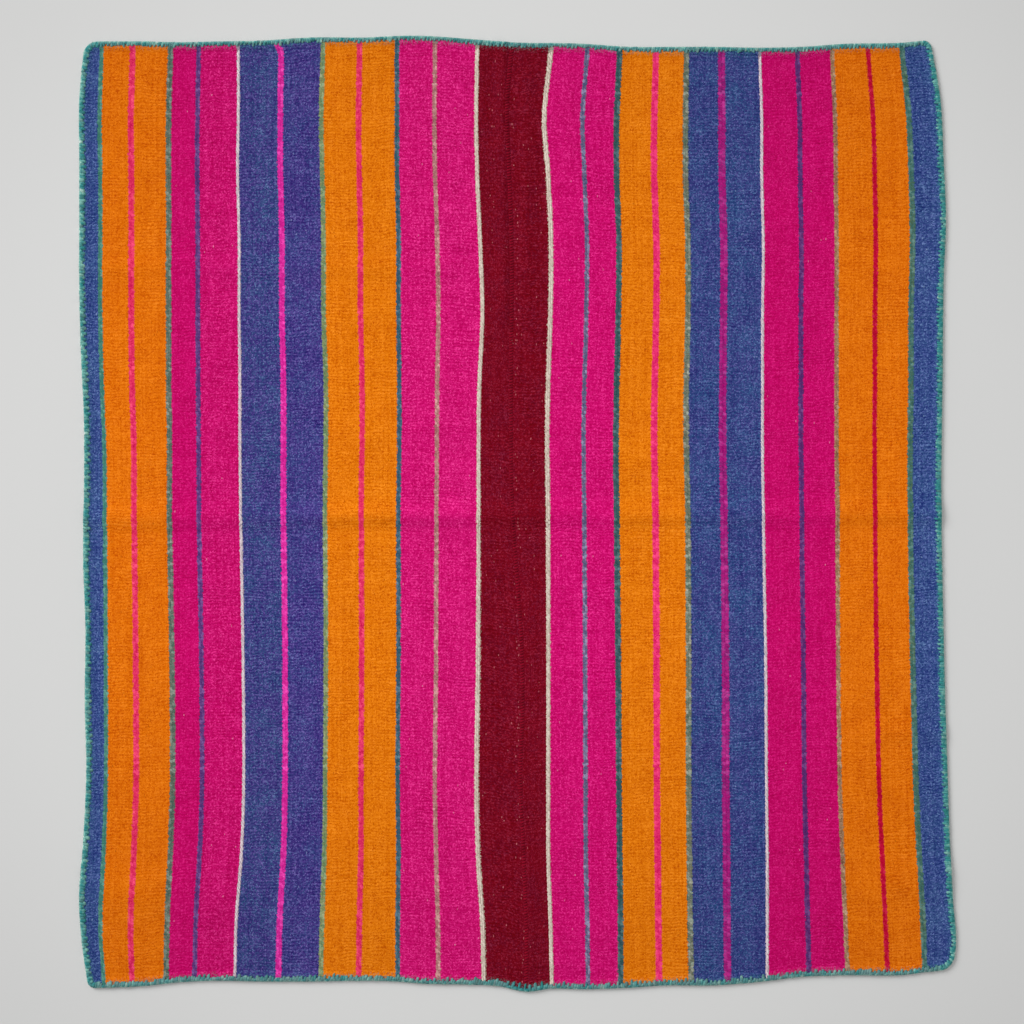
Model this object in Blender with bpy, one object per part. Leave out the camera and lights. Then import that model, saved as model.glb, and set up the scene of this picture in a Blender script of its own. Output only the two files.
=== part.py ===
"""Aguayo carrying cloth, spread flat and face up.

Two warp-striped woven strips meet along a seam, and one overcast yarn edging wraps the rim of both.
X runs across the stripes, Y along them, Z up, and the cloth lies on Z = 0.
The sizes below are in millimetres and the model is in metres.
"""

import math
from collections import namedtuple

import bmesh
import bpy
from mathutils import Vector

MM = 0.001
OBJECT_NAME = "aguayo_carrying_cloth"

# The cloth's thickness, and how far its woven edges are rounded off above and below
CLOTH_THICKNESS = 1.8
EDGE_DROP = 0.5
EDGE_RISE = 0.4

# Clearance between pieces that touch
GAP = 0.3

# The edging is a yarn wrap with a C section: the yarn's thickness, its outer wall and its reach inwards
YARN_THICKNESS = 1.0
WRAP_WALL = 2.2
WRAP_REACH = 8.0

# Distances inwards from the outline to the cloth's edge, its rounded shoulder, the end of the stretch
# that lies on the edging, and the place where the cloth is back down on the surface
CLOTH_EDGE = WRAP_WALL + GAP
SHOULDER = CLOTH_EDGE + 2.0
RAMP_TOP = WRAP_REACH + 0.5
RAMP_FOOT = 14.0
RIM_HEIGHT = YARN_THICKNESS + GAP

# The grid: its plain rows and columns, its first lines inside the corners, and its lines beside the seam
# and a crease
ROW_STEP = 46.0
PLAIN_COLUMNS = 11
CORNER_CLEAR = 34.0
SEAM_COLUMNS = (2.5, 9.0, 20.0, 33.0)
CREASE_ROWS = (-22.0, -9.0, 0.0, 9.0, 20.0)
CORNER_STEPS = 4

# The three lines that run along the warp, from the top of the cloth to its foot
WarpRow = namedtuple("WarpRow", "y left seam right")
WARP_ROWS = (
    WarpRow(606, -555, -6, 531),
    WarpRow(529, -562, -13, 544),
    WarpRow(452, -562, -11, 548),
    WarpRow(375, -562, -8, 551),
    WarpRow(298, -562, -7, 548),
    WarpRow(208, -560, -8, 547),
    WarpRow(119, -556, -8, 546),
    WarpRow(29, -556, -7, 545),
    WarpRow(-61, -557, -1, 546),
    WarpRow(-151, -554, 6, 548),
    WarpRow(-241, -555, 8, 550),
    WarpRow(-331, -553, 5, 553),
    WarpRow(-421, -557, 9, 556),
    WarpRow(-498, -562, 12, 560),
    WarpRow(-549, -559, 13, 564),
    WarpRow(-607, -551, 12, 557),
)

# The turned ends of the two strips, from left to right
EndRow = namedtuple("EndRow", "x top bottom")
END_ROWS = (
    EndRow(-560, 605, -611),
    EndRow(-481, 605, -608),
    EndRow(-434, 604, -603),
    EndRow(-386, 605, -601),
    EndRow(-329, 606, -602),
    EndRow(-265, 610, -602),
    EndRow(-194, 610, -601),
    EndRow(-155, 612, -602),
    EndRow(-117, 612, -605),
    EndRow(-59, 608, -606),
    EndRow(-24, 605, -608),
    EndRow(12, 603, -615),
    EndRow(45, 603, -611),
    EndRow(85, 602, -612),
    EndRow(145, 598, -610),
    EndRow(190, 598, -607),
    EndRow(250, 598, -607),
    EndRow(307, 597, -603),
    EndRow(365, 598, -596),
    EndRow(422, 602, -594),
    EndRow(490, 603, -594),
    EndRow(524, 606, -590),
    EndRow(545, 605, -588),
)

# How far each corner is rounded
CORNER_RADIUS = {"bottom_left": 10.0, "top_left": 17.0, "top_right": 9.0, "bottom_right": 17.0}

# Soft ridges left by storage and wear: a line from start to end, its height, and its width on each side.
# A ridge whose end lies past the cloth's edge runs out over the edge at full height.
Fold = namedtuple("Fold", "start end height above below")
FOLDS = {
    "middle crease": Fold((-640, -8), (640, -1), 2.6, 21, 24),
    "upper crease": Fold((-640, 317), (-30, 313), 1.3, 20, 20),
    "lower crease": Fold((400, -281), (640, -283), 1.5, 20, 20),
    "gather left of the seam": Fold((-32, 680), (-26, 170), 1.6, 15, 15),
    "gather right of the seam": Fold((12, 680), (18, 250), 1.3, 14, 14),
    "lower left wave": Fold((-680, -470), (-330, -500), 2.4, 50, 46),
    "lower right wave": Fold((420, -480), (680, -455), 2.0, 48, 44),
}
CREASES = ("middle crease", "upper crease", "lower crease")
FOLD_FADE = 90.0


def smooth(rows, key, value, at):
    """Reads column `value` at the place `at` of column `key`, on a smooth curve through the rows."""
    rows = sorted(rows, key=lambda row: getattr(row, key))
    places = [getattr(row, key) for row in rows]
    values = [getattr(row, value) for row in rows]
    last = len(rows) - 1
    i = max(0, min(last - 1, sum(place <= at for place in places) - 1))
    span = places[i + 1] - places[i]
    t = (at - places[i]) / span

    def slope(k):
        a, b = max(k - 1, 0), min(k + 1, last)
        return (values[b] - values[a]) / (places[b] - places[a])

    if not 0.0 <= t <= 1.0:
        end = i if t < 0.0 else i + 1
        return values[end] + slope(end) * (at - places[end])
    return (
        values[i] * (2 * t**3 - 3 * t**2 + 1)
        + values[i + 1] * (3 * t**2 - 2 * t**3)
        + slope(i) * span * (t**3 - 2 * t**2 + t)
        + slope(i + 1) * span * (t**3 - t**2)
    )


def warp_point(line, y):
    """The point of the left, seam or right line at height y."""
    return Vector((smooth(WARP_ROWS, "y", line, y), y))


def end_point(end, x):
    """The point of the top or bottom end at x."""
    return Vector((x, smooth(END_ROWS, "x", end, x)))


def crossing(line, end):
    """Where a warpwise line meets the top or bottom end."""
    x = 0.0
    for _ in range(8):
        y = end_point(end, x).y
        x = warp_point(line, y).x
    return Vector((x, y))


def ease(t):
    t = max(0.0, min(1.0, t))
    return t * t * (3.0 - 2.0 * t)


def lift(point):
    """How high the folds carry the cloth at a point."""
    height = 0.0
    for fold in FOLDS.values():
        start, end = Vector(fold.start), Vector(fold.end)
        along = (end - start).normalized()
        travelled = (point - start).dot(along)
        aside = (point - start).cross(along) * (1 if along.x > abs(along.y) else -1)
        width = fold.below if aside > 0 else fold.above
        if abs(aside) < width:
            bump = 0.5 + 0.5 * math.cos(math.pi * aside / width)
            fade = ease(travelled / FOLD_FADE) * ease(((end - start).length - travelled) / FOLD_FADE)
            height += fold.height * bump * fade
    return height


def row_heights():
    """The y of each grid row between the two ends: even steps, with finer ones at the creases."""
    low = max(crossing(line, "bottom").y for line in ("left", "seam", "right")) + CORNER_CLEAR
    high = min(crossing(line, "top").y for line in ("left", "seam", "right")) - CORNER_CLEAR
    fine = []
    for name in CREASES:
        middle = (FOLDS[name].start[1] + FOLDS[name].end[1]) / 2
        fine += [middle + step for step in CREASE_ROWS]
    count = round((high - low) / ROW_STEP)
    plain = [low + (high - low) * i / count for i in range(count + 1)]
    plain = [y for y in plain if min(abs(y - other) for other in fine) > ROW_STEP / 3]
    return sorted(plain + fine)


def column_places(side, end):
    """The x of each grid column along an end, from the outer corner to the seam."""
    outer = crossing(side, end).x
    seam = crossing("seam", end).x
    inwards = 1 if seam > outer else -1
    first = outer + inwards * CORNER_CLEAR
    last = seam - inwards * SEAM_COLUMNS[-1]
    plain = [first + (last - first) * i / PLAIN_COLUMNS for i in range(PLAIN_COLUMNS)]
    return plain + [seam - inwards * step for step in reversed(SEAM_COLUMNS)]


def corner_arc(side, end):
    """The points of a rounded corner, from the side line to the end line, and its sharp corner."""
    radius = CORNER_RADIUS[f"{end}_{side}"]
    sharp = crossing(side, end)
    towards_middle = -1 if end == "top" else 1
    side_way = (warp_point(side, sharp.y + towards_middle * radius) - sharp).normalized()
    inwards = 1 if side == "left" else -1
    end_way = (end_point(end, sharp.x + inwards * radius) - sharp).normalized()
    arc = []
    for i in range(CORNER_STEPS + 1):
        angle = math.pi / 2 * i / CORNER_STEPS
        arc.append(sharp + radius * ((1 - math.sin(angle)) * side_way + (1 - math.cos(angle)) * end_way))
    return arc, sharp, side_way, end_way


def rim_run(side):
    """The outline's stations round one strip, from the seam's foot by the outer edge to the seam's top.

    Each station is its point and its place in the strip's grid, (column, row).
    """
    rows = row_heights()
    feet = column_places(side, "bottom")
    tops = column_places(side, "top")
    last_row, last_column = len(rows) + 1, len(feet) + 1
    run = [(crossing("seam", "bottom"), (last_column, 0))]
    for j in range(len(feet), 0, -1):
        run.append((end_point("bottom", feet[j - 1]), (j, 0)))
    arc = corner_arc(side, "bottom")[0]
    run += [(point, (0, 0)) for point in reversed(arc)]
    for i, y in enumerate(rows, start=1):
        run.append((warp_point(side, y), (0, i)))
    arc = corner_arc(side, "top")[0]
    run += [(point, (0, last_row)) for point in arc]
    for j, x in enumerate(tops, start=1):
        run.append((end_point("top", x), (j, last_row)))
    run.append((crossing("seam", "top"), (last_column, last_row)))
    return run


def whole_rim():
    """The closed outline as stations, anticlockwise, with each point's inward mitre."""
    left = [point for point, _ in rim_run("left")]
    right = [point for point, _ in rim_run("right")]
    points = right[:-1] + left[:0:-1]
    mitres = []
    for i, point in enumerate(points):
        before = (point - points[i - 1]).normalized()
        after = (points[(i + 1) % len(points)] - point).normalized()
        normal_before = Vector((-before.y, before.x))
        normal_after = Vector((-after.y, after.x))
        mitres.append((normal_before + normal_after) / (1.0 + normal_before.dot(normal_after)))
    return points, mitres


def bounds_centre(points):
    xs = [point.x for point in points]
    ys = [point.y for point in points]
    return Vector(((min(xs) + max(xs)) / 2, (min(ys) + max(ys)) / 2))


def placed(point, z):
    """A point of the model in metres, with the cloth's middle at the origin."""
    return Vector((point.x - CENTRE.x, point.y - CENTRE.y, z)) * MM


def material(name, colour, roughness):
    """A plain cloth or yarn finish."""
    finish = bpy.data.materials.new(name)
    finish.use_nodes = True
    shader = finish.node_tree.nodes["Principled BSDF"]
    shader.inputs["Base Color"].default_value = (*colour, 1.0)
    shader.inputs["Roughness"].default_value = roughness
    shader.inputs["Metallic"].default_value = 0.0
    finish.diffuse_color = (*colour, 1.0)
    return finish


def add_object(name, shape, finish, collection, parent):
    mesh = bpy.data.meshes.new(name)
    bmesh.ops.recalc_face_normals(shape, faces=shape.faces)
    shape.to_mesh(mesh)
    shape.free()
    mesh.materials.append(finish)
    piece = bpy.data.objects.new(name, mesh)
    collection.objects.link(piece)
    piece.parent = parent
    mesh.shade_smooth()
    mesh.set_sharp_from_angle(angle=math.radians(40.0))
    return piece


def between(a, b, t):
    return a * (1.0 - t) + b * t


def cloth_grid(side):
    """The points of one strip inside its rim, on a patch that fills its four boundary lines."""
    run = rim_run(side)
    mitre_of = {tuple(point): mitre for point, mitre in zip(*whole_rim())}
    last_column, last_row = run[-1][1]
    to_seam = 1 if side == "left" else -1
    edge = {}
    for point, place in run:
        edge[place] = point + RAMP_FOOT * mitre_of[tuple(point)]
    for end, row in (("bottom", 0), ("top", last_row)):
        _, sharp, side_way, end_way = corner_arc(side, end)
        edge[(0, row)] = sharp + RAMP_FOOT * (side_way + end_way)
        edge[(last_column, row)].x -= to_seam * GAP / 2
    for i, y in enumerate(row_heights(), start=1):
        edge[(last_column, i)] = warp_point("seam", y) - Vector((to_seam * GAP / 2, 0.0))

    def share(start, stop, at):
        return (at - start).length / (stop - start).length

    grid = {}
    for i in range(last_row + 1):
        for j in range(last_column + 1):
            if (j, i) in edge:
                grid[(j, i)] = edge[(j, i)]
                continue
            foot, top = edge[(j, 0)], edge[(j, last_row)]
            outer, inner = edge[(0, i)], edge[(last_column, i)]
            u = between(
                share(edge[(0, 0)], edge[(last_column, 0)], foot),
                share(edge[(0, last_row)], edge[(last_column, last_row)], top),
                i / last_row,
            )
            v = share(edge[(0, 0)], edge[(0, last_row)], outer)
            corners = between(
                between(edge[(0, 0)], edge[(last_column, 0)], u),
                between(edge[(0, last_row)], edge[(last_column, last_row)], u),
                v,
            )
            grid[(j, i)] = between(outer, inner, u) + between(foot, top, v) - corners
    return grid


def build_strip(side, finish, collection, parent):
    """One woven strip: its underside is lofted from rim to grid, and extruded up to its thickness."""
    run = rim_run(side)
    last_column, last_row = run[-1][1]
    to_seam = 1 if side == "left" else -1
    mitre_of = {tuple(point): mitre for point, mitre in zip(*whole_rim())}
    shape = bmesh.new()

    rings = []
    for inwards in (CLOTH_EDGE, SHOULDER, RAMP_TOP):
        ring = []
        for point, place in run:
            inside = point + inwards * mitre_of[tuple(point)]
            if place[0] == last_column:
                inside.x -= to_seam * GAP / 2
            ring.append(shape.verts.new(placed(inside, RIM_HEIGHT + lift(point))))
        rings.append(ring)

    grid = {}
    for place, point in cloth_grid(side).items():
        grid[place] = shape.verts.new(placed(point, lift(point)))
    rings.append([grid[place] for _, place in run])

    def add_face(*corners):
        distinct = list(dict.fromkeys(corners))
        shape.faces.new(distinct)

    for outer, inner in zip(rings, rings[1:]):
        for k in range(len(run) - 1):
            add_face(outer[k], outer[k + 1], inner[k + 1], inner[k])
    for i in range(last_row):
        for j in range(last_column):
            add_face(grid[(j, i)], grid[(j + 1, i)], grid[(j + 1, i + 1)], grid[(j, i + 1)])
    bmesh.ops.recalc_face_normals(shape, faces=shape.faces)

    under_edge = {vert for edge in shape.edges if edge.is_boundary for vert in edge.verts}
    made = bmesh.ops.extrude_face_region(shape, geom=list(shape.faces))
    upper = {item for item in made["geom"] if isinstance(item, bmesh.types.BMVert)}
    neighbours = {edge.other_vert(vert) for vert in under_edge for edge in vert.link_edges}
    bmesh.ops.translate(shape, verts=list(upper), vec=(0.0, 0.0, CLOTH_THICKNESS * MM))
    bmesh.ops.translate(shape, verts=list(upper & neighbours), vec=(0.0, 0.0, -EDGE_DROP * MM))
    bmesh.ops.translate(shape, verts=list(under_edge), vec=(0.0, 0.0, EDGE_RISE * MM))
    add_object(f"panel_{side}", shape, finish, collection, parent)


def wrap_section():
    """The edging's C section as (inwards, height) corners, round the gap that holds the cloth's rim."""
    gap_top = RIM_HEIGHT + CLOTH_THICKNESS + GAP
    top = gap_top + YARN_THICKNESS
    return (
        (WRAP_REACH, 0.0),
        (WRAP_REACH, YARN_THICKNESS),
        (WRAP_WALL, YARN_THICKNESS),
        (WRAP_WALL, gap_top),
        (WRAP_REACH, gap_top),
        (WRAP_REACH, gap_top + YARN_THICKNESS / 2),
        (WRAP_REACH - 1.5, top - 0.1),
        (WRAP_WALL, top),
        (0.8, top - 0.7),
        (0.0, top - 1.9),
        (0.0, 1.3),
        (0.8, 0.0),
    )


def build_edging(finish, collection, parent):
    """The overcast yarn: its section is swept round the whole outline."""
    shape = bmesh.new()
    sections = []
    for point, mitre in zip(*whole_rim()):
        base = lift(point)
        sections.append(
            [shape.verts.new(placed(point + inwards * mitre, base + z)) for inwards, z in wrap_section()]
        )
    for i, section in enumerate(sections):
        following = sections[(i + 1) % len(sections)]
        for k in range(len(section)):
            n = (k + 1) % len(section)
            shape.faces.new((section[k], following[k], following[n], section[n]))
    add_object("edging", shape, finish, collection, parent)


CENTRE = bounds_centre(whole_rim()[0])


def main():
    for piece in list(bpy.data.objects):
        bpy.data.objects.remove(piece, do_unlink=True)
    collection = bpy.data.collections.new(OBJECT_NAME)
    bpy.context.scene.collection.children.link(collection)
    origin = bpy.data.objects.new("cloth_origin", None)
    collection.objects.link(origin)

    left_cloth = material("left strip wool", (0.52, 0.02, 0.14), 0.95)
    right_cloth = material("right strip wool", (0.50, 0.02, 0.13), 0.95)
    yarn = material("teal edging yarn", (0.04, 0.26, 0.22), 0.9)
    build_strip("left", left_cloth, collection, origin)
    build_strip("right", right_cloth, collection, origin)
    build_edging(yarn, collection, origin)


main()
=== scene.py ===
"""The looks of an aguayo carrying cloth, laid out flat.

Two warp-faced woven strips lie side by side, sewn together down the middle of a dark red stripe and
bound all round with overcast teal yarn. Sizes in the tables are millimetres, with X across the
stripes, Y along them and the middle of the cloth at the origin. The scene is in metres.
"""

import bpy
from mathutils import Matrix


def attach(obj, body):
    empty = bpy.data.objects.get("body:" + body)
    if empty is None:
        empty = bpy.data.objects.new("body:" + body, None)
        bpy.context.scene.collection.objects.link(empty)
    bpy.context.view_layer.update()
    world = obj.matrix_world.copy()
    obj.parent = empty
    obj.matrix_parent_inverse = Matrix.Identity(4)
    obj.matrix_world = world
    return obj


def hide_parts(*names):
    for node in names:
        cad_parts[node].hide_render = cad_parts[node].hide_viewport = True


bl_info = {
    "name": "Aguayo carrying cloth",
    "version": (1, 0, 0),
    "blender": (4, 5, 0),
    "location": "3D View > Sidebar > Aguayo",
    "description": "Weaves, sews and binds a striped two-strip carrying cloth on its solids",
    "category": "Object",
}

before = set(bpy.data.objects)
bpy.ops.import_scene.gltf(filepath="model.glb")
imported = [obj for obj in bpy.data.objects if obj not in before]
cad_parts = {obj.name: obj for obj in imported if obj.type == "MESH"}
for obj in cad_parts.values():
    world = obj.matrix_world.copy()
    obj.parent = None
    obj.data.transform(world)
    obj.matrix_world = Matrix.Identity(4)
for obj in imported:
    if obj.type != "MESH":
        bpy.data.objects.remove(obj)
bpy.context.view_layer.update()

import math
import random
from collections import namedtuple
from functools import partial

import bpy
import numpy as np
from bpy.props import FloatProperty, FloatVectorProperty, IntProperty, PointerProperty
from mathutils import Vector, noise

MM = 0.001


def linear(hex_colour):
    """Turns an sRGB hex colour to linear red, green and blue."""
    channels = [int(hex_colour[i : i + 2], 16) / 255 for i in (1, 3, 5)]
    return tuple(c / 12.92 if c <= 0.04045 else ((c + 0.055) / 1.055) ** 2.4 for c in channels)


# The outline, as on the solids: the left edge, the seam and the right edge at heights down the cloth
WarpRow = namedtuple("WarpRow", "y left seam right")
WARP_ROWS = [
    WarpRow(*row)
    for row in (
        (606, -555, -6, 531), (529, -562, -13, 544), (452, -562, -11, 548), (375, -562, -8, 551),
        (298, -562, -7, 548), (208, -560, -8, 547), (119, -556, -8, 546), (29, -556, -7, 545),
        (-61, -557, -1, 546), (-151, -554, 6, 548), (-241, -555, 8, 550), (-331, -553, 5, 553),
        (-421, -557, 9, 556), (-498, -562, 12, 560), (-549, -559, 13, 564), (-607, -551, 12, 557),
    )
]

# The turned ends of the two strips, from left to right
EndRow = namedtuple("EndRow", "x top bottom")
END_ROWS = [
    EndRow(*row)
    for row in (
        (-560, 605, -611), (-481, 605, -608), (-434, 604, -603), (-386, 605, -601), (-329, 606, -602),
        (-265, 610, -602), (-194, 610, -601), (-155, 612, -602), (-117, 612, -605), (-59, 608, -606),
        (-24, 605, -608), (12, 603, -615), (45, 603, -611), (85, 602, -612), (145, 598, -610),
        (190, 598, -607), (250, 598, -607), (307, 597, -603), (365, 598, -596), (422, 602, -594),
        (490, 603, -594), (524, 606, -590), (545, 605, -588),
    )
]
CORNER_RADIUS = {"bottom_left": 10.0, "top_left": 17.0, "top_right": 9.0, "bottom_right": 17.0}
# The way round the rim: each side with the corners that it runs from and to
RIM_WALK = (
    ("bottom", "bottom_left", "bottom_right"),
    ("right", "bottom_right", "top_right"),
    ("top", "top_right", "top_left"),
    ("left", "top_left", "bottom_left"),
)

# Where a few warp lines run, at these heights: x at the top of the cloth first. The first value of
# each row is the line's place in the warp as it was set up, counted from the seam.
GUIDE_HEIGHTS = (578, 509, 440, 347, 255, 162, 93, 0, -185, -346, -439, -531, -577)
Guide = namedtuple("Guide", "warp places")
GUIDES = {
    "green_left": Guide(-530, (-533, -535, -534, -534, -534, -532, -529, -528, -527, -527, -530, -534, -531)),
    "dusky_left": Guide(-445, (-445, -447, -447, -447, -447, -447, -446, -446, -443, -442, -445, -449, -450)),
    "white_left": Guide(-355, (-357, -357, -358, -356, -356, -355, -355, -354, -351, -350, -353, -360, -361)),
    "sage": Guide(-247, (-249, -251, -250, -248, -248, -245, -245, -246, -245, -246, -247, -250, -251)),
    "teal_left": Guide(-151, (-154, -154, -154, -152, -152, -151, -151, -152, -152, -153, -152, -153, -153)),
    "ecru_left": Guide(-47.5, (-51, -52, -51, -47, -44, -48, -49, -49, -50, -52, -50, -44, -43)),
    "ecru_right": Guide(42.5, (42, 35, 40, 44, 43, 40, 39, 40, 40, 40, 40, 43, 44)),
    "teal_right": Guide(132, (131, 128, 128, 131, 130, 128, 127, 128, 130, 131, 132, 133, 133)),
    "grey_right": Guide(221, (217, 216, 216, 219, 219, 217, 217, 219, 220, 220, 221, 222, 223)),
    "white_right": Guide(318.5, (312, 314, 314, 316, 315, 315, 315, 316, 319, 320, 321, 321, 321)),
    "khaki": Guide(413.5, (405, 408, 409, 410, 410, 410, 410, 411, 412, 414, 417, 421, 423)),
    "moss": Guide(510, (495, 502, 505, 507, 505, 505, 504, 504, 507, 511, 515, 520, 522)),
}

# Each strip's stripes as it was warped, from the left: the dye and the width
Stripe = namedtuple("Stripe", "dye width")
STRIPES = {
    "left": [
        Stripe(*row)
        for row in (
            ("blue", 22.1), ("green", 5.6), ("ochre", 32.4), ("hot_pink", 7.3), ("ochre", 39.7),
            ("dusky_green", 7.0), ("cerise", 30.5), ("purple", 6.1), ("rose", 47.5), ("white", 3.8),
            ("navy", 49.3), ("magenta", 7.2), ("violet", 46.8), ("sage", 6.1), ("orange", 40.9),
            ("hot_pink", 7.0), ("orange", 42.2), ("dark_teal", 6.1), ("pink", 43.1), ("tan", 5.5),
            ("pink", 49.0), ("ecru", 5.4), ("maroon", 44.9),
        )
    ],
    "right": [
        Stripe(*row)
        for row in (
            ("maroon", 39.7), ("ecru", 5.6), ("fuchsia", 41.5), ("slate", 5.8), ("fuchsia", 35.6),
            ("pine", 7.5), ("orange", 40.8), ("bright_pink", 8.2), ("orange", 33.0), ("grey_green", 7.2),
            ("indigo", 38.2), ("plum", 9.4), ("indigo", 44.2), ("white", 3.8), ("cerise", 44.2),
            ("aubergine", 6.4), ("cerise", 39.8), ("khaki", 5.5), ("ochre", 44.2), ("crimson", 6.1),
            ("ochre", 40.2), ("moss", 7.0), ("blue", 32.7),
        )
    ],
}

# The dyed yarns: the main colour, the colour of the fibres mixed into it, the share of those, how far
# the single floats differ in lightness, and where it has stray fibres, their colour and share
Dye = namedtuple("Dye", "colour second share contrast fleck flecks", defaults=("#FFFFFF", 0.0))
DYES = {
    "blue": Dye("#364787", "#446195", 0.35, 1.38, "#8CA8C8", 0.0040),
    "green": Dye("#48847A", "#4E846E", 0.40, 1.00),
    "orange": Dye("#ED7F09", "#DD6F04", 0.40, 1.22, "#A04804", 0.0120),
    "hot_pink": Dye("#F13E6A", "#D7225C", 0.40, 0.84),
    "bright_pink": Dye("#FB3D79", "#E1216B", 0.40, 0.80),
    "dusky_green": Dye("#72786C", "#526D63", 0.40, 1.30),
    "grey_green": Dye("#828272", "#627769", 0.40, 1.50),
    "pink": Dye("#DB1677", "#CB106B", 0.35, 1.30, "#E8A0B8", 0.0012),
    "rose": Dye("#D1106F", "#C10C64", 0.35, 1.27, "#E8A0B8", 0.0012),
    "fuchsia": Dye("#D90F74", "#CA0B69", 0.35, 1.16, "#E8A0B8", 0.0010),
    "purple": Dye("#6B4386", "#583974", 0.40, 1.00),
    "white": Dye("#B4A2B0", "#9E889A", 0.35, 1.00),
    "navy": Dye("#463A82", "#3A5486", 0.34, 1.35, "#88A0C8", 0.0040),
    "magenta": Dye("#EA36A8", "#CE2490", 0.40, 1.00),
    "violet": Dye("#483884", "#404E8A", 0.28, 1.38, "#90A0C8", 0.0025),
    "sage": Dye("#909768", "#688C67", 0.45, 1.10),
    "dark_teal": Dye("#465F74", "#3E6776", 0.40, 1.05),
    "pine": Dye("#3E6460", "#405A66", 0.40, 1.05),
    "tan": Dye("#C48A86", "#A06C6C", 0.35, 1.30),
    "khaki": Dye("#AE8766", "#84634E", 0.35, 1.20),
    "ecru": Dye("#C6B4A4", "#AE9C8C", 0.35, 1.00),
    "maroon": Dye("#80061E", "#700824", 0.35, 0.87, "#D07880", 0.0075),
    "slate": Dye("#766E8D", "#5E6689", 0.40, 1.50),
    "indigo": Dye("#3E4082", "#38578B", 0.34, 1.30, "#80A0C4", 0.0040),
    "plum": Dye("#B42080", "#842A74", 0.35, 0.88),
    "cerise": Dye("#CF096B", "#BF075F", 0.35, 0.90, "#E8A0B8", 0.0010),
    "aubergine": Dye("#5E3778", "#682C6C", 0.40, 0.84),
    "ochre": Dye("#E97608", "#D96604", 0.40, 1.08, "#A04804", 0.0120),
    "crimson": Dye("#CC0E3A", "#B40C32", 0.40, 0.64),
    "moss": Dye("#487471", "#58725B", 0.40, 1.00),
}
# In these dyes the odd floats are duller than the rest, in the others brighter
DULL_FLOATS = ("orange", "ochre")
# The widest stripe that is woven as two cords, and how far single yarns cross a stripe's edge
THIN_LINE = 10.0
TOOTH = 1.7
# How much lighter a place can look than its dye, where the contrast is 1 and black to white is 1
LIGHT_STEP = 0.16
DISPLAY_GAMMA = 2.2
MEAN_ARCH = 0.64

# The thick yarns that stand up along the pale lines: their dark and light tones and each float's length
PaleLine = namedtuple("PaleLine", "dark light bead seed")
PALE_LINES = {
    "ecru": PaleLine("#CCBAAC", "#E6D8CA", 6.0, 5),
    "white": PaleLine("#CCBCC4", "#EADDE2", 5.6, 6),
}
# Their two rows' distance apart and each float's half width, as shares of the line's width, and each
# float's half length as a share of the distance from float to float
ROWS_APART, HALF_WIDE, HALF_LONG = 0.40, 0.26, 0.62

# Soft ridges left by storage and wear: a line from start to end, its height, and its width on each side
Fold = namedtuple("Fold", "start end height above below")
FOLDS = {
    "middle crease": Fold((-640, -8), (640, -1), 3.0, 27, 20),
    "middle crease, sharper part": Fold((-330, -6), (70, -4), 1.2, 20, 13),
    "upper crease": Fold((-640, 317), (-30, 313), 1.3, 20, 20),
    "lower crease": Fold((400, -281), (640, -283), 1.5, 20, 20),
    "gather left of the seam": Fold((-18, 680), (-17, 190), 2.1, 18, 10),
    "gather right of the seam": Fold((10, 680), (14, 250), 1.3, 14, 14),
    "lower left wave": Fold((-680, -470), (-330, -500), 2.4, 50, 46),
    "lower right wave": Fold((420, -480), (680, -455), 2.0, 48, 44),
    "top pleat": Fold((-338, 660), (-328, 500), 0.7, 7, 9),
    "second top pleat": Fold((-292, 660), (-286, 520), 0.6, 7, 8),
}
FOLD_FADE = 90.0

# Where the edging has drawn a warp line aside at the end of the cloth
Pull = namedtuple("Pull", "warp reach aside start length")
PULLS = (Pull(-303.0, 15.0, -6.0, 586.0, 14.0),)

# How the cloth's rim is carried by the edging under it
CLOTH_EDGE = 2.5
RIM_HEIGHT = 1.3
RAMP_TOP = 8.5
RAMP_FOOT = 14.0
SEAM_GAP = 0.3
# The joining seam: from stitch to stitch, and how far from the seam each one bites into the cloth
SEAM_PITCH, SEAM_BITE = 3.6, 2.9

# How each side is overcast: the yarn's reach over the cloth, the spread of that, the distance from stitch to
# stitch, and from 0 to 1 how light the yarn is there (partly its own colour, partly raised on the right and
# bottom as painted light where the key leaves them in shade), how faded, and how much painted light its outer
# turn takes
Side = namedtuple("Side", "reach spread pitch tone faded worn")
SIDES = {
    "left": Side(8.6, 1.0, 7.2, 0.48, 0.02, 0.75),
    "top": Side(7.1, 1.5, 5.0, 0.48, 0.13, 0.80),
    "right": Side(8.4, 1.2, 5.4, 0.43, 0.0, 1.00),
    "bottom": Side(8.0, 2.6, 5.8, 0.42, 0.20, 0.90),
}
# How much further in the long stitches reach than the short ones between them
SHORT_STITCH = 2.0
# The stitches that fasten off the yarn at the foot of the seam are longer and stand apart
FOOT_KNOT = {"from": -21.0, "to": 30.0, "reach": 12.0, "pitch": 7.6, "short": 4.6, "tone": 0.36}


def smooth(rows, key, value, at):
    """Reads column `value` at the place `at` of column `key`, on a smooth curve through the rows."""
    rows = sorted(rows, key=lambda row: getattr(row, key))
    places = [getattr(row, key) for row in rows]
    values = [getattr(row, value) for row in rows]
    last = len(rows) - 1
    i = max(0, min(last - 1, sum(place <= at for place in places) - 1))
    span = places[i + 1] - places[i]
    t = (at - places[i]) / span

    def slope(k):
        a, b = max(k - 1, 0), min(k + 1, last)
        return (values[b] - values[a]) / (places[b] - places[a])

    if not 0.0 <= t <= 1.0:
        end = i if t < 0.0 else i + 1
        return values[end] + slope(end) * (at - places[end])
    return (
        values[i] * (2 * t**3 - 3 * t**2 + 1)
        + values[i + 1] * (3 * t**2 - 2 * t**3)
        + slope(i) * span * (t**3 - 2 * t**2 + t)
        + slope(i + 1) * span * (t**3 - t**2)
    )


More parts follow.
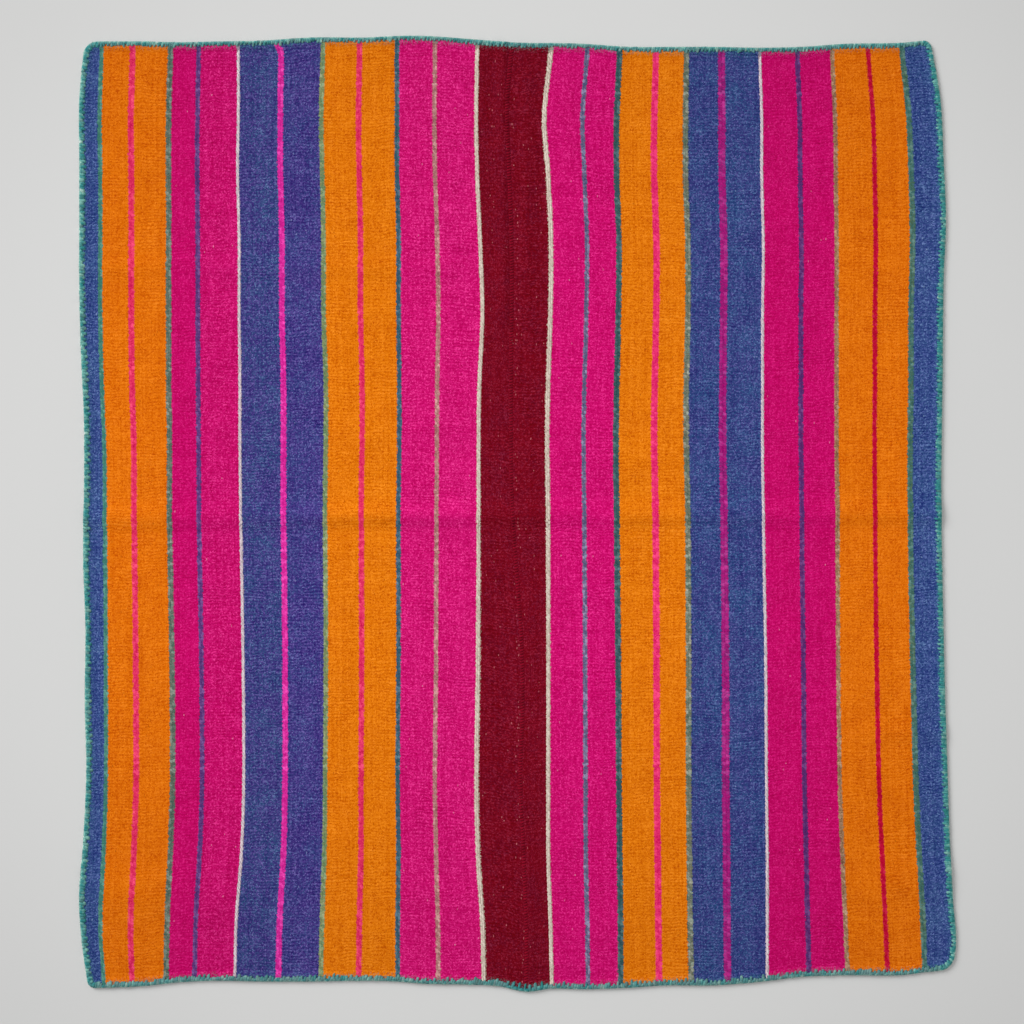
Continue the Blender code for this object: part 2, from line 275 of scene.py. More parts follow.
def sampled(rows, key, value):
    """A quick reader of one column, for whole arrays of places."""
    places = np.arange(-700.0, 701.0, 2.0)
    values = [smooth(rows, key, value, at) for at in places]
    return lambda at: np.interp(at, places, values)


LEFT, SEAM, RIGHT = (sampled(WARP_ROWS, "y", line) for line in ("left", "seam", "right"))
TOP, BOTTOM = (sampled(END_ROWS, "x", end) for end in ("top", "bottom"))
EDGE_OF = {"left": LEFT, "right": RIGHT, "top": TOP, "bottom": BOTTOM}

GuideRow = namedtuple("GuideRow", "y x")
GUIDE_LINES = {
    name: sampled([GuideRow(y, x) for y, x in zip(GUIDE_HEIGHTS, guide.places)], "y", "x")
    for name, guide in GUIDES.items()
}


def ease(t):
    t = np.clip(t, 0.0, 1.0)
    return t * t * (3.0 - 2.0 * t)


def fold_lift(x, y):
    """How high the folds carry the cloth, for arrays of places."""
    height = np.zeros_like(x)
    for fold in FOLDS.values():
        start, end = np.array(fold.start, float), np.array(fold.end, float)
        length = np.hypot(*(end - start))
        along = (end - start) / length
        travelled = (x - start[0]) * along[0] + (y - start[1]) * along[1]
        aside = (x - start[0]) * along[1] - (y - start[1]) * along[0]
        if along[0] <= abs(along[1]):
            aside = -aside
        width = np.where(aside > 0, fold.below, fold.above)
        bump = 0.5 + 0.5 * np.cos(np.pi * np.clip(aside / width, -1.0, 1.0))
        fade = ease(travelled / FOLD_FADE) * ease((length - travelled) / FOLD_FADE)
        height += fold.height * bump * fade
    return height


def crossing(corner):
    """The sharp place of a corner, where its side line meets the top or bottom end."""
    end, side = corner.split("_")
    x = 0.0
    for _ in range(8):
        y = float(EDGE_OF[end](x))
        x = float(EDGE_OF[side](y))
    return np.array((x, y))


def rounded(x, y, side, end):
    """Draws places near one corner in, so that the square corner becomes a round one."""
    radius = CORNER_RADIUS[f"{end}_{side}"]
    inwards = 1 if side == "left" else -1
    upwards = 1 if end == "bottom" else -1
    from_side = (x - EDGE_OF[side](y)) * inwards
    from_end = (y - EDGE_OF[end](x)) * upwards
    near = (from_side < radius) & (from_end < radius)
    a, b = radius - from_side, radius - from_end
    scale = np.maximum(a, b) / np.maximum(np.hypot(a, b), 1e-9)
    moved_x = x + inwards * (a - a * scale)
    moved_y = y + upwards * (b - b * scale)
    return np.where(near, moved_x, x), np.where(near, moved_y, y)


def find_centre():
    """The middle of the outline's box, which lies over the origin, as the solids' box does."""
    places = np.arange(-600.0, 601.0, 2.0)
    lefts, rights = LEFT(places[10:-10]), RIGHT(places[10:-10])
    tops, bottoms = TOP(places[24:-40]), BOTTOM(places[24:-40])
    return (lefts.min() + rights.max()) / 2, (bottoms.min() + tops.max()) / 2, 0.0


CENTRE = np.array(find_centre())
FOOT_HEIGHT, HEAD_HEIGHT = -603.0, 603.0


def edge_of_strip(strip):
    """The strip's warp places from its left selvedge to its right one."""
    total = sum(stripe.width for stripe in STRIPES[strip])
    return (-total, 0.0) if strip == "left" else (0.0, total)


def stripe_edges(strip):
    """The strip's stripes from the left, each with the warp place of its left edge."""
    edge, found = edge_of_strip(strip)[0], []
    for stripe in STRIPES[strip]:
        found.append((edge, stripe))
        edge += stripe.width
    return found


def lay(strip, warp, height):
    """Lays warp places and heights on the cloth: x, y, the underside's height and the way in from the rim."""
    warp, height = np.broadcast_arrays(np.asarray(warp, float), np.asarray(height, float))
    names = [n for n in GUIDES if (GUIDES[n].warp < 0) == (strip == "left")]
    first, last = edge_of_strip(strip)
    knots = [first, *(GUIDES[n].warp for n in names), last]
    lines = [GUIDE_LINES[n](height) for n in names]
    if strip == "left":
        lines = [LEFT(height) + CLOTH_EDGE, *lines, SEAM(height) - SEAM_GAP / 2]
    else:
        lines = [SEAM(height) + SEAM_GAP / 2, *lines, RIGHT(height) - CLOTH_EDGE]
    x = np.array(lines[0], float)
    for k in range(len(knots) - 1):
        share = np.clip((warp - knots[k]) / (knots[k + 1] - knots[k]), 0.0, 1.0)
        x = x + share * (lines[k + 1] - lines[k])
    for pull in PULLS:
        near = 1.0 - ease(np.abs(warp - pull.warp) / pull.reach)
        x = x + pull.aside * near * ease((height - pull.start) / pull.length)
    rise = (height - FOOT_HEIGHT) / (HEAD_HEIGHT - FOOT_HEIGHT)
    low, high = BOTTOM(x) + CLOTH_EDGE, TOP(x) - CLOTH_EDGE
    y = low + rise * (high - low)
    outer = x - LEFT(y) if strip == "left" else RIGHT(y) - x
    inside = np.minimum(np.minimum(outer, y - BOTTOM(x)), TOP(x) - y)
    for end in ("bottom", "top"):
        x, y = rounded(x, y, strip, end)
    under = RIM_HEIGHT * (1.0 - ease((inside - RAMP_TOP) / (RAMP_FOOT - RAMP_TOP)))
    return x, y, under + fold_lift(x, y), inside


def ripple(x, y, inside, size):
    """The slight unevenness of hand-woven cloth: low cockles, and still lower puckers along the warp."""
    heights = np.empty(x.size)
    for i, (px, py) in enumerate(zip(x.ravel(), y.ravel())):
        cockle = noise.noise(Vector((px / 60.0, py / 75.0, 3.0)))
        pucker = noise.noise(Vector((px / 13.0, py / 48.0, 8.0)))
        heights[i] = 0.5 + 0.33 * cockle + 0.17 * pucker
    return size * heights.reshape(x.shape) * ease((inside - RAMP_TOP) / 30.0)


class ClothSizes(bpy.types.PropertyGroup):
    """Sizes of the two woven strips."""

    thickness: FloatProperty(
        name="Thickness", description="Thickness of the woven cloth", default=1.8 * MM, unit="LENGTH"
    )
    ripple: FloatProperty(
        name="Ripple", description="Height of the cloth's slight unevenness", default=0.5 * MM, unit="LENGTH"
    )
    line_relief: FloatProperty(
        name="Line relief", description="How far thin warp lines stand up", default=0.15 * MM, unit="LENGTH"
    )
    seam_dip: FloatProperty(
        name="Seam dip", description="Depth of the groove along the seam", default=0.3 * MM, unit="LENGTH"
    )
    rows: IntProperty(name="Rows", description="Mesh rows along the warp", default=300, min=20)
    cell_width: FloatProperty(
        name="Cell width", description="Widest mesh cell across the warp", default=4.2 * MM, unit="LENGTH"
    )


class WeaveLook(bpy.types.PropertyGroup):
    """Sizes and strengths of the weave that the eye sees."""

    rib_spacing: FloatProperty(
        name="Rib spacing", description="Distance between weft ribs", default=4.05 * MM, unit="LENGTH"
    )
    float_width: FloatProperty(
        name="Float width",
        description="Width of one raised warp float, drawn a little coarse so that it shows",
        default=1.6 * MM,
        unit="LENGTH",
    )
    relief: FloatProperty(
        name="Relief", description="Height of the floats over the gaps", default=0.40 * MM, unit="LENGTH"
    )
    row_shade: FloatProperty(
        name="Row shade", description="Extra dark between weft ribs", default=0.34, subtype="FACTOR"
    )
    float_shade: FloatProperty(
        name="Float shade", description="Extra dark between floats", default=0.30, subtype="FACTOR"
    )


class EdgingSizes(bpy.types.PropertyGroup):
    """Sizes and colours of the overcast edging."""

    yarn_thickness: FloatProperty(
        name="Yarn thickness", description="Thickness of the flattened yarn", default=1.2 * MM, unit="LENGTH"
    )
    slant: FloatProperty(
        name="Slant", description="How far a stitch leans along the rim", default=2.0 * MM, unit="LENGTH"
    )
    colour: FloatVectorProperty(
        name="Colour", description="Teal yarn", default=linear("#3A8A8C"), subtype="COLOR", size=3
    )
    light_colour: FloatVectorProperty(
        name="Light colour", description="Worn teal yarn", default=linear("#88C0B2"), subtype="COLOR", size=3
    )
    # Painted light: the pale colour that the stitches' outer turn is lifted to, as if lit
    worn_colour: FloatVectorProperty(
        name="Worn colour", description="Pale fuzz at the outer turn of the yarn", default=linear("#D6E4E0"),
        subtype="COLOR", size=3,
    )
    faded_colour: FloatVectorProperty(
        name="Faded colour", description="Grey fluff of the stripes' dyes caught in the yarn",
        default=linear("#94807C"), subtype="COLOR", size=3,
    )
    dark_colour: FloatVectorProperty(
        name="Dark colour", description="Deep teal yarn", default=linear("#1F6A62"), subtype="COLOR", size=3
    )


class StageSettings(bpy.types.PropertyGroup):
    """The floor, the lights and the camera."""

    floor_colour: FloatVectorProperty(
        name="Floor", description="Pale grey floor", default=linear("#DCDCDB"), subtype="COLOR", size=3
    )
    view_width: FloatProperty(
        name="View width", description="Width that the picture spans", default=1314.8 * MM, unit="LENGTH"
    )
    lens: FloatProperty(name="Lens", description="Focal length in millimetres", default=80.0)
    key_power: FloatProperty(name="Key", description="Power of the upper left softbox", default=1210.0)
    fill: FloatProperty(name="Fill", description="Strength of the even light all round", default=0.52)


class DyeColours(bpy.types.PropertyGroup):
    """The colour of each dyed yarn, and of the fibres mixed into it."""


for dye_name, dye in DYES.items():
    DyeColours.__annotations__[dye_name] = FloatVectorProperty(
        name=dye_name, description=f"Main colour of the {dye_name} yarn", default=linear(dye.colour),
        subtype="COLOR", size=3,
    )
    DyeColours.__annotations__[f"{dye_name}_second"] = FloatVectorProperty(
        name=f"{dye_name} second", description=f"Colour of the fibres mixed into the {dye_name} yarn",
        default=linear(dye.second), subtype="COLOR", size=3,
    )


class AguayoSettings(bpy.types.PropertyGroup):
    """All that a user would change."""

    cloth: PointerProperty(type=ClothSizes)
    weave: PointerProperty(type=WeaveLook)
    edging: PointerProperty(type=EdgingSizes)
    stage: PointerProperty(type=StageSettings)
    dyes: PointerProperty(type=DyeColours)


# What a colour mix needs besides its inputs
COLOURS = {"out": "Result", "data_type": "RGBA"}


def add(tree, kind, *values, out=0, **settings):
    """Adds a shader node, feeds its inputs in turn or by name, and returns one of its outputs.

    A kind such as "Math ADD" names the node's operation too.
    """
    kind, _, operation = kind.partition(" ")
    node = tree.nodes.new(f"ShaderNode{kind}")
    if operation:
        node.operation = operation
    for name, value in settings.items():
        setattr(node, name, value)
    by_name = values and isinstance(values[0], dict)
    for key, value in (values[0] if by_name else dict(enumerate(values))).items():
        if isinstance(value, bpy.types.NodeSocket):
            tree.links.new(value, node.inputs[key])
        else:
            node.inputs[key].default_value = value
    return node.outputs[out]


def new_material(name, roughness, sheen):
    """An empty wool finish: rough, with hardly any gloss."""
    finish = bpy.data.materials.new(name)
    finish.use_nodes = True
    tree = finish.node_tree
    shader = tree.nodes["Principled BSDF"]
    shader.inputs["Roughness"].default_value = roughness
    shader.inputs["Specular IOR Level"].default_value = 0.06
    shader.inputs["Sheen Weight"].default_value = sheen
    shader.inputs["Sheen Roughness"].default_value = 0.6
    return finish, tree, shader


def stripe_lookup(tree, index, entries):
    """Reads the stripe's entry from a stepped ramp that holds one even step a stripe."""
    steps = 32
    place = add(tree, "Math DIVIDE", add(tree, "Math ADD", index, 0.5), steps)
    stripe = add(tree, "ValToRGB", place).node
    ramp = stripe.color_ramp
    ramp.interpolation = "CONSTANT"
    while len(ramp.elements) < len(entries):
        ramp.elements.new(len(ramp.elements) / steps)
    for i, entry in enumerate(entries):
        ramp.elements[i].position = i / steps
        ramp.elements[i].color = entry
    return stripe.outputs["Color"], stripe.outputs["Alpha"]


def woven_wool(strip, settings):
    """Warp-faced wool cloth: rows of packed warp floats over each weft, heathered dyes, no gloss.

    The eye sees fine pebbles in wavering cross rows, bright and dull dashes along the rows, thin
    lines that look like pairs of beaded cords, and stripe edges toothed by single yarns.
    """
    finish, tree, shader = new_material(f"warp_faced_wool_{strip}", 0.95, 0.0)
    weave, dyes = settings.weave, settings.dyes
    node = partial(add, tree)

    def drift(place, scale, low, high, detail=1.0, start=0.0, stop=1.0):
        """A value that wanders softly from place to place between two limits."""
        cloud = node("TexNoise", {"Vector": place, "Scale": scale, "Detail": detail}, out="Fac")
        return node("MapRange", cloud, start, stop, low, high)

    def chance_of(*cell):
        """A chance of its own for each cell of a grid."""
        return node("TexWhiteNoise", node("CombineXYZ", *cell), out="Value", noise_dimensions="3D")

    def arch(steps):
        """An arch over each whole step."""
        return node("Math ABSOLUTE", node("Math SINE", node("Math MULTIPLY", steps, math.pi)))

    uv = node("UVMap", uv_map="warp_mm")
    places = node("SeparateXYZ", uv).node.outputs
    warp, height = places["X"], places["Y"]

    # Slow wander of the ribs, and the small play of single yarns
    bent = node("Math ADD", height, drift(uv, 0.03, -5.0, 5.0, 2.0))
    play = drift(uv, 0.22, -1.0, 1.0)
    bent = node("Math MULTIPLY_ADD", play, 1.3, bent)
    swayed = node("Math MULTIPLY_ADD", play, 0.8, warp)

    # Rows of floats over each weft, and columns of single floats
    ribs = node("Math DIVIDE", bent, weave.rib_spacing / MM)
    step = node("Math FLOOR", ribs)
    yarn = node("Math DIVIDE", swayed, weave.float_width / MM)
    columns = node("Math MULTIPLY_ADD", node("Math FLOORED_MODULO", step, 2.0), 0.5, yarn)
    column = node("Math FLOOR", columns)
    part_row = node("Math FLOOR", node("Math MULTIPLY", ribs, 3.0))
    float_chance = chance_of(column, part_row, 0.0)
    dye_chance = chance_of(column, part_row, 7.0)

    # Which stripe a place is in: the number of stripe edges to its left
    first = edge_of_strip(strip)[0]
    fibre_chance = chance_of(node("Math FLOOR", node("Math MULTIPLY", warp, 1.1)), part_row, 3.0)
    toothed = node("Math MULTIPLY_ADD", fibre_chance, TOOTH, swayed)
    index = 0.0
    for edge, _ in stripe_edges(strip)[1:]:
        index = node("Math ADD", index, node("Math GREATER_THAN", toothed, edge + TOOTH / 2))

    # What each stripe holds: its dyes, its stray fibres, and its place and build
    main, second, stray, spans = [], [], [], []
    for edge, stripe in stripe_edges(strip):
        dye = DYES[stripe.dye]
        main.append((*getattr(dyes, stripe.dye), dye.share))
        second.append((*getattr(dyes, f"{stripe.dye}_second"), dye.contrast / 2.0))
        stray.append((*linear(dye.fleck), dye.flecks))
        is_thin, is_bright = stripe.width < THIN_LINE, stripe.dye not in DULL_FLOATS
        spans.append(((edge - first) / 1000.0, stripe.width / 1000.0, float(is_thin), float(is_bright)))
    (main_colour, share), (second_colour, contrast), (fleck_colour, flecks), (span, bright) = (
        stripe_lookup(tree, index, entries) for entries in (main, second, stray, spans)
    )

    # Where a place lies across its stripe. A thin line is two cords, each with beads along it.
    parts = node("SeparateColor", span).node.outputs
    is_line = parts["Blue"]
    from_first = node("Math SUBTRACT", toothed, first + TOOTH / 2)
    across = node("Math MULTIPLY_ADD", parts["Red"], -1000.0, from_first)
    across = node("Math DIVIDE", across, node("Math MULTIPLY", parts["Green"], 1000.0))
    cords = node("Math MULTIPLY", across, 2.0)
    cord = node("Math FLOOR", cords)
    beads = node("Math MULTIPLY_ADD", cord, 0.5, node("Math MULTIPLY_ADD", across, 0.5, ribs))
    bead_chance = chance_of(cord, node("Math FLOOR", beads), 3.0)
    row_arch, float_arch, chance = (
        node("Mix", {"Factor": is_line, "A": in_field, "B": in_line})
        for in_field, in_line in (
            (arch(ribs), arch(beads)), (arch(columns), arch(cords)), (float_chance, bead_chance)
        )
    )

    # Dashes and whole rows of their own lightness, and single yarns and streaks up the warp
    dash_place = node("CombineXYZ", node("Math MULTIPLY", warp, 0.075), node("Math MULTIPLY", step, 4.7))
    row_place = node("CombineXYZ", node("Math MULTIPLY", warp, 0.009), node("Math MULTIPLY", step, 3.1))
    length_of_yarn = node("Math FLOOR", node("Math MULTIPLY", height, 0.008))
    yarn_chance = chance_of(node("Math FLOOR", yarn), length_of_yarn, 21.0)
    streak_place = node("Mapping", {"Vector": uv, "Scale": (0.33, 0.012, 1.0)})
    zone_place = node("Mapping", {"Vector": uv, "Location": (400.0, 90.0, 0.0)})
    zone = drift(zone_place, 0.022, 0.45, 1.25, start=0.40, stop=0.66)
    fibre = node("TexNoise", {"Vector": uv, "Scale": 1.0, "Detail": 1.0}, out="Fac")

    # The second dye comes in float by float, more in some places than in others
    leaning = drift(zone_place, 0.03, -0.30, 0.30, 3.0, 0.30, 0.70)
    mixed = node("Math SUBTRACT", node("Math ADD", share, leaning), dye_chance)
    mixed = node("MapRange", mixed, -0.45, 0.45, 0.0, 1.0)
    colour = node("Mix", {"Factor": mixed, "A": main_colour, "B": second_colour}, **COLOURS)

    # Lightness of a place, from the rows, the floats, the odd floats that stand out, and the rest
    rows = node("Math MULTIPLY", node("Math SUBTRACT", row_arch, MEAN_ARCH), weave.row_shade)
    light = node("Math MULTIPLY", rows, zone)
    floats = node("Math SUBTRACT", float_arch, MEAN_ARCH)
    light = node("Math MULTIPLY_ADD", floats, weave.float_shade, light)
    odd_ones = node("MapRange", node("Math POWER", chance, 2.6), 0.0, 1.0, -0.24, 0.62)
    light = node("Math MULTIPLY_ADD", odd_ones, node("MapRange", bright, 0.0, 1.0, -0.75, 1.0), light)
    light = node("Math MULTIPLY_ADD", drift(dash_place, 1.0, -0.22, 0.22), zone, light)
    for part in (
        drift(row_place, 1.0, -0.14, 0.14),
        node("MapRange", yarn_chance, 0.0, 1.0, -0.09, 0.09),
        drift(streak_place, 1.0, -0.16, 0.16, 2.0),
        node("MapRange", fibre, 0.0, 1.0, -0.65, 0.65),
    ):
        light = node("Math ADD", light, part)
    light = node("Math MULTIPLY", light, node("Math MULTIPLY", contrast, 2.0 * LIGHT_STEP))

    # It is added to the dye as the eye sees it, so that the bright floats turn paler in any colour: partly
    # the yarns' own random tone, partly painted sheen
    seen = node("Gamma", colour, 1.0 / DISPLAY_GAMMA)
    seen = node("VectorMath ADD", seen, node("CombineXYZ", light, light, light))
    seen = node("VectorMath MAXIMUM", seen, (0.02, 0.02, 0.02))
    colour = node("Gamma", seen, DISPLAY_GAMMA)

    # Broad patches of the yarns' own tone, and painted shade that darkens both ends of the cloth a little
    # against its middle
    shade_and_patches = node("MapRange", node("Math MULTIPLY", height, height), 0.0, 600.0**2, 1.05, 0.91)
    shade_and_patches = node("Math MULTIPLY", shade_and_patches, drift(uv, 0.014, 0.96, 1.04, 2.0))
    shade_and_patch_colour = node("CombineXYZ", shade_and_patches, shade_and_patches, shade_and_patches)
    colour = node("Mix", {"Factor": 1.0, "A": colour, "B": shade_and_patch_colour}, **COLOURS, blend_type="MULTIPLY")

    # Teal fluff that the overcast stitches leave on the cloth, thinning out away from the rim
    from_rim = node("Attribute", out="Fac", attribute_name="from_rim")
    reached = node("MapRange", from_rim, 6.0, 14.0, 0.62, 0.0)
    fluff = node("MapRange", node("Math SUBTRACT", reached, fibre_chance), 0.0, 0.45, 0.0, 0.58)
    colour = node("Mix", {"Factor": fluff, "A": colour, "B": (*settings.edging.colour, 1.0)}, **COLOURS)

    # Stray fibres, and the pale weft that peeps out in a dotted line by the seam, where the shed was slack
    slack = drift(uv, 0.02, 0.0, 0.17, start=0.35, stop=0.60)
    aside, on_this_part = (-4.5, "Math LESS_THAN") if strip == "left" else (6.3, "Math GREATER_THAN")
    off_line = node("Math ABSOLUTE", node("Math SUBTRACT", swayed, aside))
    on_line = node("Math MULTIPLY", node("Math LESS_THAN", off_line, 1.7), node(on_this_part, height, -40.0))
    odds = node("Math MULTIPLY_ADD", on_line, slack, flecks)
    found = node("Math LESS_THAN", chance_of(column, step, 13.0), odds)
    middle_of_float = node("MapRange", node("Math MULTIPLY", row_arch, float_arch), 0.45, 0.85, 0.0, 1.0)
    found = node("Math MULTIPLY", found, middle_of_float)
    found = node("Math MULTIPLY", found, node("MapRange", dye_chance, 0.0, 1.0, 0.35, 0.95))
    colour = node("Mix", {"Factor": found, "A": colour, "B": fleck_colour}, **COLOURS)
    tree.links.new(colour, shader.inputs["Base Color"])

    # Relief of the floats, with fuzz on them
    relief = node("Math MULTIPLY", row_arch, zone)
    for part, height_share in ((float_arch, 0.4), (fibre, 0.4), (is_line, 0.3)):
        relief = node("Math MULTIPLY_ADD", part, height_share, relief)
    bump = node("Bump", {"Height": relief, "Strength": 0.40, "Distance": weave.relief})
    tree.links.new(bump, shader.inputs["Normal"])
    return finish


def plied_yarn(name, tones, faded=None):
    """Hand-plied wool yarn: matt and fibrous, a little uneven in its dye.

    Each piece carries a tone attribute that takes its yarn through `tones`, pairs of a place from 0 to 1
    and a colour, and where `faded` is given, an attribute of that name that mixes this colour in.
    """
    finish, tree, shader = new_material(name, 0.92, 0.0)
    node = partial(add, tree)
    place = node("TexCoord", out="Object")
    fuzz, patch = (
        node("TexNoise", {"Vector": place, "Scale": scale, "Detail": 1.0}, out="Fac")
        for scale in (1000.0, 230.0)
    )
    tone = node("Attribute", out="Fac", attribute_name="tone")
    tone = node("Math ADD", tone, node("MapRange", patch, 0.0, 1.0, -0.40, 0.40), use_clamp=True)
    dyed = node("ValToRGB", tone)
    ramp = dyed.node.color_ramp
    ramp.elements[0].color = (*tones[0][1], 1.0)
    ramp.elements[1].color = (*tones[-1][1], 1.0)
    for at, colour in tones[1:-1]:
        ramp.elements.new(at).color = (*colour, 1.0)
    if faded is not None:
        share = node("Attribute", out="Fac", attribute_name="faded")
        dyed = node("Mix", {"Factor": share, "A": dyed, "B": (*faded, 1.0)}, **COLOURS)
    light = node("MapRange", fuzz, 0.0, 1.0, 0.60, 1.40)
    lights = node("CombineXYZ", light, light, light)
    dyed = node("Mix", {"Factor": 1.0, "A": dyed, "B": lights}, **COLOURS, blend_type="MULTIPLY")
    tree.links.new(dyed, shader.inputs["Base Color"])
    bump = node("Bump", {"Height": fuzz, "Strength": 0.5, "Distance": 0.3 * MM})
    tree.links.new(bump, shader.inputs["Normal"])
    return finish


def deselect():
    for piece in bpy.context.selected_objects:
        piece.select_set(False)


def mesh_piece(name, points, faces, finish):
    """Makes one piece from its points in millimetres, rides it on the cloth's body and finishes it."""
    mesh = bpy.data.meshes.new(name)
    mesh.from_pydata((points - CENTRE) * MM, [], faces)
    mesh.update()
    mesh.materials.append(finish)
    mesh.shade_smooth()
    piece = bpy.data.objects.new(name, mesh)
    bpy.context.scene.collection.objects.link(piece)
    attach(piece, "root")
    return piece


def set_values(piece, name, values):
    """Gives each point of a piece its value of an attribute that the finish reads."""
    layer = piece.data.attributes.new(name, "FLOAT", "POINT")
    layer.data.foreach_set("value", np.asarray(values, np.float32))


def column_places(strip, cell_width):
    """Mesh columns across one strip: stripe edges, even cells between them, and fine ones at the seam."""
    first, last = edge_of_strip(strip)
    places = [first]
    for edge, stripe in stripe_edges(strip):
        cells = max(1, round(stripe.width / cell_width))
        places += [edge + stripe.width * (i + 1) / cells for i in range(cells)]
    seam, inwards = (last, -1) if strip == "left" else (first, 1)
    places = np.sort(places + [seam + inwards * step for step in (0.8, 1.8, 3.0)])
    return places[np.concatenate(([True], np.diff(places) > 0.05))]


def row_places(rows):
    """Mesh rows along the warp, closer together at both ends where the rim is carried up."""
    fine = np.array((0.0, 1.5, 3.0, 5.0, 6.5, 8.0, 10.0, 12.5))
    middle = np.linspace(FOOT_HEIGHT + 16.0, HEAD_HEIGHT - 16.0, rows - 2 * len(fine))
    return np.concatenate((FOOT_HEIGHT + fine, middle, HEAD_HEIGHT - fine[::-1]))


def cloth_top(strip, warp, height, sizes):
    """Lays places on the cloth: x, y, the face's height, the underside's and the way in from the rim."""
    x, y, under, inside = lay(strip, warp, height)
    under = under + ripple(x, y, inside, sizes.ripple / MM)
    from_seam = np.abs(np.broadcast_to(np.asarray(warp, float), x.shape))
    dip = sizes.seam_dip / MM * (1.0 - ease(from_seam / 5.0))
    return x, y, under + sizes.thickness / MM - dip, under, inside


def thin_line_relief(strip, warp, relief):
    """Raises the middle of each thin warp line a little."""
    raised = np.zeros_like(warp)
    for edge, stripe in stripe_edges(strip):
        if stripe.width < THIN_LINE:
            middle = edge + stripe.width / 2
            raised += relief * np.clip(1.0 - np.abs(warp - middle) / stripe.width, 0.0, 1.0)
    return raised


def weave_strip(strip, settings):
    """One woven strip as a thin closed sheet with its warp coordinates in millimetres."""
    sizes = settings.cloth
    columns, rows = column_places(strip, sizes.cell_width / MM), row_places(sizes.rows)
    warp, height = np.meshgrid(columns, rows)
    x, y, top, under, inside = cloth_top(strip, warp, height, sizes)
    top = top + thin_line_relief(strip, warp, sizes.line_relief / MM)
    index = np.arange(warp.size).reshape(warp.shape)
    below = index + warp.size
    upper_faces = np.stack((index[:-1, :-1], index[:-1, 1:], index[1:, 1:], index[1:, :-1]), -1)
    lower_faces = np.stack((below[:-1, :-1], below[1:, :-1], below[1:, 1:], below[:-1, 1:]), -1)
    rim = np.concatenate((index[0, :], index[1:, -1], index[-1, -2::-1], index[-2:0:-1, 0]))
    following = np.roll(rim, -1)
    rim_faces = np.stack((rim, rim + warp.size, following + warp.size, following), -1)
    faces = np.concatenate((upper_faces.reshape(-1, 4), lower_faces.reshape(-1, 4), rim_faces))
    points = np.concatenate([np.stack((x, y, level), -1).reshape(-1, 3) for level in (top, under)])
    piece = mesh_piece(f"cloth_{strip}", points, faces.tolist(), woven_wool(strip, settings))
    coordinates = np.tile(np.stack((warp, height), -1).reshape(-1, 2), (2, 1))
    corner_vertices = np.empty(len(piece.data.loops), np.int32)
    piece.data.loops.foreach_get("vertex_index", corner_vertices)
    layer = piece.data.uv_layers.new(name="warp_mm")
    layer.data.foreach_set("uv", coordinates[corner_vertices].astype(np.float32).ravel())
    set_values(piece, "from_rim", np.tile(inside.ravel(), 2))
    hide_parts(f"panel_{strip}")
    return piece


def bead_template():
    """One warp float: a low sphere of unit radius, to be stretched and laid many times."""
    deselect()
    bpy.ops.mesh.primitive_uv_sphere_add(segments=8, ring_count=6, radius=1.0)
    return take_mesh(bpy.context.object)


def yarn_template(rings):
    """A straight length of yarn of unit radius, from 0 to 1 along Z, cut into rings for bending."""
    deselect()
    bpy.ops.mesh.primitive_cylinder_add(vertices=6, radius=1.0, depth=1.0, location=(0.0, 0.0, 0.5))
    piece = bpy.context.object
    bpy.ops.object.transform_apply(location=True)
    bpy.ops.object.mode_set(mode="EDIT")
    bpy.ops.mesh.select_mode(type="EDGE")
    bpy.ops.mesh.select_all(action="DESELECT")
    bpy.ops.object.mode_set(mode="OBJECT")
    for edge in piece.data.edges:
        a, b = (piece.data.vertices[v].co for v in edge.vertices)
        edge.select = abs(a.z - b.z) > 0.5
    bpy.ops.object.mode_set(mode="EDIT")
    bpy.ops.mesh.subdivide(number_cuts=rings)
    bpy.ops.object.mode_set(mode="OBJECT")
    return take_mesh(piece)


def take_mesh(piece):
    """The piece's points and faces, after which the piece itself goes."""
    points = np.array([vertex.co for vertex in piece.data.vertices])
    faces = [list(face.vertices) for face in piece.data.polygons]
    bpy.data.objects.remove(piece)
    return points, faces


def repeat_faces(faces, count, size):
    return [[v + i * size for v in face] for i in range(count) for face in faces]


def raise_line(dye, settings):
    """A pale warp line whose thick yarns stand up as two staggered rows of beads."""
    line = PALE_LINES[dye]
    chance = random.Random(line.seed)
    template, faces = bead_template()
    points, tones = [], []
    count = int((HEAD_HEIGHT - FOOT_HEIGHT - 9.0) / line.bead)
    rows = [
        (strip, row, edge + stripe.width / 2, stripe.width)
        for strip in ("left", "right")
        for edge, stripe in stripe_edges(strip)
        for row in (0, 1)
        if stripe.dye == dye
    ]
    for strip, row, middle, width in rows:
        places = FOOT_HEIGHT + 4.0 + line.bead * (np.arange(count) + 0.5 * row)
        places = places + np.array([chance.uniform(-0.5, 0.5) for _ in places])
        warp = np.full(count, middle + (row - 0.5) * width * ROWS_APART)
        x, y, top = cloth_top(strip, warp, places, settings.cloth)[:3]
        for i in range(count):
            turn = math.radians(chance.uniform(3.0, 10.0))
            bx = template[:, 0] * (width * HALF_WIDE * chance.uniform(0.85, 1.12))
            by = template[:, 1] * (line.bead * HALF_LONG * chance.uniform(0.88, 1.10))
            bead_x = x[i] + bx * math.cos(turn) - by * math.sin(turn)
            bead_y = y[i] + bx * math.sin(turn) + by * math.cos(turn)
            points.append(np.column_stack((bead_x, bead_y, top[i] + 0.1 + template[:, 2] * 0.5)))
            tones.append(chance.random())
    finish = plied_yarn(f"undyed_plied_wool_{dye}", ((0.0, linear(line.dark)), (1.0, linear(line.light))))
    all_faces = repeat_faces(faces, len(points), len(template))
    piece = mesh_piece(f"{dye}_lines", np.concatenate(points), all_faces, finish)
    set_values(piece, "tone", np.repeat(tones, len(template)))
    return piece


